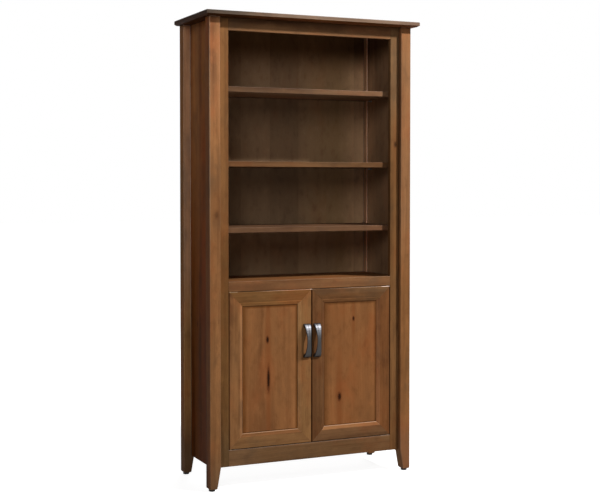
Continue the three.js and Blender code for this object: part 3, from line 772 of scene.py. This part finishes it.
def metal(name, colour, roughness):
    graph = Graph(name)
    place = graph.place()
    brush = brushed(graph, place)
    tarnish = graph.noise(place, *TARNISH)
    dark = tuple(METAL_DARK_SHARE * value for value in colour[:3]) + (1,)
    shade = graph.mix(graph.span(tarnish, *TARNISH_SPAN), colour, dark)
    shade = graph.mix(graph.product(brush, BRUSH_SHARE), shade, dark)
    rough = graph.sum(graph.product(brush, BRUSH_ROUGHNESS), roughness)
    return graph.finish(shade, rough, brush, METAL_BUMP, Metallic=1.0)


def pewter():
    """Satin pewter with painted light: lighter towards the top of each pull and darker at its foot and
    sides, a painted reflection of a dark line just off its middle, a darker outer edge, patches of tarnish
    and a domed face.
    """
    graph = Graph("pewter")
    place = graph.place()
    axes = graph.axes(place)
    height = graph.span(axes["Z"], handle_low.z, handle_high.z, -1.0, 1.0)
    half_width = graph.sum(graph.product(height, height, HANDLE_FLARE), HANDLE_HALF_WIDTH)
    off_centre = graph.math("SUBTRACT", graph.math("ABSOLUTE", axes["X"]), HANDLE_CENTRE)
    side = graph.math("DIVIDE", off_centre, half_width)
    tarnish = graph.centred(graph.noise(place, *PEWTER_TARNISH))
    hollow = graph.product(side, side, PEWTER_HOLLOW_SHARE)
    brightness = graph.sum(height, hollow, graph.product(tarnish, PEWTER_TARNISH_SHARE))
    # Painted light: lighter towards the top of the pull, darker at its foot and sides
    shade = graph.mix(graph.span(brightness, *PEWTER_PAINTED_LIGHT), PEWTER_DARK, PEWTER_BRIGHT)
    # Painted reflection: a dark line just off the middle, and painted shade at the outer edge
    streak = graph.math("ABSOLUTE", graph.sum(side, PEWTER_STREAK_SHIFT_SHARE))
    darkness = graph.math("MAXIMUM", graph.span(streak, *PEWTER_STREAK), graph.span(side, *PEWTER_EDGE))
    shade = graph.mix(darkness, shade, PEWTER_DARK)
    brush = brushed(graph, place)
    dome = graph.product(side, side, -CROWN_RISE)
    relief = graph.sum(dome, graph.product(brush, METAL_BUMP))
    rough = graph.sum(graph.product(brush, BRUSH_ROUGHNESS), PEWTER_ROUGHNESS)
    return graph.finish(shade, rough, relief, WHOLE_METRE, Metallic=1.0)


def plastic(name, colour):
    graph = Graph(name)
    place = graph.place()
    grain = graph.noise(place, *PLASTIC_GRAIN)
    dust = graph.noise(place, *DUST)
    lighter = tuple(DUST_GAIN * value + DUST_LIFT for value in colour[:3]) + (1,)
    shade = graph.mix(graph.span(dust, *DUST_SPAN), colour, lighter)
    rough = graph.sum(graph.product(grain, PLASTIC_GRAIN_ROUGHNESS), PLASTIC_ROUGHNESS)
    return graph.finish(shade, rough, grain, PLASTIC_BUMP, Specular_IOR_Level=PLASTIC_SHINE)


HARDWARE = {
    "hinge": metal("brass", rgb(176, 143, 96), 0.3),
    "hardware": metal("zinc", rgb(168, 168, 166), 0.32),
    "pull": pewter(),
    "glide": plastic("black_nylon", rgb(14, 14, 14)),
    "catch": plastic("brown_plastic", rgb(70, 48, 34)),
}


def dress_hardware():
    for node, slot in slot_of.items():
        if slot in HARDWARE:
            dress(node, HARDWARE[slot], METAL_ARRIS)


# Screws, each head with a cross recess. A head's rings run from its foot to its flat, as radius and height

SCREW_SIDES = 24
SCREW_START = -2 * math.pi / SCREW_SIDES
CROSS_LENGTH_SHARE = 0.66
CROSS_WIDTH_SHARE = 0.17
CROSS_DEPTH_SHARE = 0.55
CROSS_FLOOR_SHARE = 0.55
SUNK_HEAD = ((1.4 * MM, -1.75 * MM), (2.5 * MM, -0.35 * MM), (2.35 * MM, -0.20 * MM))
FLUSH_HEAD = ((1.3 * MM, -1.00 * MM), (1.3 * MM, -0.25 * MM), (1.15 * MM, -0.10 * MM))
PAN_HEAD = ((3.9 * MM, 0.05 * MM), (3.9 * MM, 0.9 * MM), (3.5 * MM, 1.7 * MM), (2.3 * MM, 2.2 * MM))
# Where the screws go. A leaf's row has its face's height, the body it rides on if not the door, and its way
PIVOT_X = 343 * MM
PIVOT_Y = -131.5 * MM
LEAF_SCREW_REACHES = (10.92 * MM, 22.1 * MM)
LEAVES = (
    ("upper_frame_leaf", "case", 762 * MM, -1),
    ("lower_frame_leaf", "case", 151 * MM, 1),
    ("door_upper_leaf", None, 760 * MM, 1),
    ("door_lower_leaf", None, 153 * MM, -1),
)
STRIKE_X = 18 * MM
STRIKE_BACK_Y = -117.5 * MM
STRIKE_Z = 751 * MM
DOOR_BACK_Y = -119 * MM
HANDLE_Z = 557 * MM
PULL_SCREW_SPREAD = 60.5 * MM


def circle(radius):
    turns = (SCREW_START + 2 * math.pi * step / SCREW_SIDES for step in range(SCREW_SIDES))
    return [(radius * math.cos(turn), radius * math.sin(turn)) for turn in turns]


def cross(length, half_width):
    """Twelve corners, anticlockwise from the lower corner of the arm along +X."""
    corners = []
    arm = [(length, -half_width), (length, half_width), (half_width, half_width)]
    for _ in range(4):
        corners += arm
        arm = [(-y, x) for x, y in arm]
    return corners


def add_screw(work, rings, place, facing):
    turn = facing.to_track_quat("Z", "Y").to_matrix()

    def loop(outline, height):
        return [work.verts.new(place + turn @ Vector((x, y, height))) for x, y in outline]

    def join(first, second):
        for index in range(len(first)):
            work.faces.new((first[index - 1], first[index], second[index], second[index - 1]))

    loops = [loop(circle(radius), height) for radius, height in rings]
    for lower, upper in zip(loops, loops[1:]):
        join(lower, upper)
    work.faces.new(reversed(loops[0]))
    flat_radius, flat_height = rings[-1]
    length, width = CROSS_LENGTH_SHARE * flat_radius, CROSS_WIDTH_SHARE * flat_radius
    mouth = loop(cross(length, width), flat_height)
    floor_outline = cross(CROSS_FLOOR_SHARE * length, CROSS_FLOOR_SHARE * width)
    floor = loop(floor_outline, flat_height - CROSS_DEPTH_SHARE * flat_radius)
    border = loops[-1]
    for index in range(len(mouth)):
        last = 2 * index - 2
        outer = (border[last], border[last + 1], border[2 * index])
        work.faces.new((*outer, mouth[index], mouth[index - 1]))
    join(mouth, floor)
    work.faces.new(floor)


def add_screws(name, body, slot, rings, places, facing):
    work = bmesh.new()
    for place in places:
        add_screw(work, rings, place, facing)
    bmesh.ops.recalc_face_normals(work, faces=work.faces)
    mesh = bpy.data.meshes.new(name)
    work.to_mesh(mesh)
    work.free()
    mesh.materials.append(HARDWARE[slot])
    piece = place_in_scene(name, mesh)
    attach(piece, body)


def add_side_screws(side, sign):
    """The screws of one side's hinge leaves, and of its door's strike and pull."""
    door = f"{side}_door"
    for tail, body, height, way in LEAVES:
        places = [Vector((sign * (PIVOT_X - reach), PIVOT_Y, height)) for reach in LEAF_SCREW_REACHES]
        add_screws(f"{side}_{tail}_screws", body or door, "hinge", SUNK_HEAD, places, Vector((0, 0, way)))
    back = Vector((0, 1, 0))
    strike = Vector((sign * STRIKE_X, STRIKE_BACK_Y, STRIKE_Z))
    add_screws(f"{door}_strike_screw", door, "hardware", FLUSH_HEAD, [strike], back)
    ends = [
        Vector((sign * HANDLE_CENTRE, DOOR_BACK_Y, HANDLE_Z + way * PULL_SCREW_SPREAD)) for way in (-1, 1)
    ]
    add_screws(f"{door}_pull_screws", door, "hardware", PAN_HEAD, ends, back)


dress_wood()
dress_hardware()
add_side_screws("left", -1)
add_side_screws("right", 1)


# Camera, light and floor


def add_camera():
    data = bpy.data.cameras.new("camera")
    data.sensor_width = CAMERA_SENSOR
    data.lens = CAMERA_LENS
    data.shift_y = CAMERA_SHIFT
    camera = place_in_scene("camera", data)
    camera.location = CAMERA_PLACE
    camera.rotation_euler = (math.pi / 2 - CAMERA_PITCH, 0, -CAMERA_YAW)
    bpy.context.scene.camera = camera


def add_lamp(name, place, size, power):
    data = bpy.data.lights.new(name, "AREA")
    data.energy = power
    data.size = size
    lamp = place_in_scene(name, data)
    lamp.location = place
    lamp.rotation_mode = "QUATERNION"
    lamp.rotation_quaternion = (place - LAMP_TARGET).to_track_quat("Z", "Y")


def seen_directly(graph):
    """1 where a camera, mirror or glass ray looks, 0 where light is gathered."""
    path = graph.add("ShaderNodeLightPath")
    seen = path.outputs["Is Camera Ray"]
    for ray in ("Is Glossy Ray", "Is Transmission Ray"):
        seen = graph.math("MAXIMUM", seen, path.outputs[ray])
    return seen


class WorldGraph(Graph):
    """The same steps on the world's own nodes."""

    def __init__(self, world):
        world.use_nodes = True
        self.tree = world.node_tree
        self.tree.nodes.clear()


def light_world():
    world = bpy.data.worlds.new("studio")
    bpy.context.scene.world = world
    graph = WorldGraph(world)
    strength = graph.span(seen_directly(graph), 0.0, 1.0, WORLD_STRENGTH, 1.0)
    background = graph.add("ShaderNodeBackground", {"Color": (1, 1, 1, 1), "Strength": strength})
    output = graph.add("ShaderNodeOutputWorld")
    graph.put(output.inputs[0], background.outputs[0])


def add_floor():
    mesh = bpy.data.meshes.new("floor")
    half = FLOOR_SIZE / 2
    corners = [(-half, -half, 0), (half, -half, 0), (half, half, 0), (-half, half, 0)]
    mesh.from_pydata(corners, [], [(0, 1, 2, 3)])
    floor = place_in_scene("floor", mesh)
    graph = Graph("floor")
    diffuse = graph.add("ShaderNodeBsdfDiffuse", {"Color": FLOOR_COLOUR})
    away = graph.add("ShaderNodeVectorMath", {0: graph.place()}, operation="LENGTH").outputs["Value"]
    strength = graph.product(seen_directly(graph), graph.span(away, *FLOOR_FADE, FLOOR_GLOW, 1.0))
    glow = graph.add("ShaderNodeEmission", {"Strength": strength})
    both = graph.add("ShaderNodeAddShader", {0: diffuse.outputs[0], 1: glow.outputs[0]})
    output = graph.add("ShaderNodeOutputMaterial")
    graph.put(output.inputs[0], both.outputs[0])
    mesh.materials.append(graph.material)


add_camera()
add_lamp("key", KEY_PLACE, KEY_SIZE, KEY_POWER)
add_lamp("fill", FILL_PLACE, FILL_SIZE, FILL_POWER)
add_lamp("rear", REAR_PLACE, REAR_SIZE, REAR_POWER)
light_world()
add_floor()
bpy.context.scene.view_settings.view_transform = "Standard"
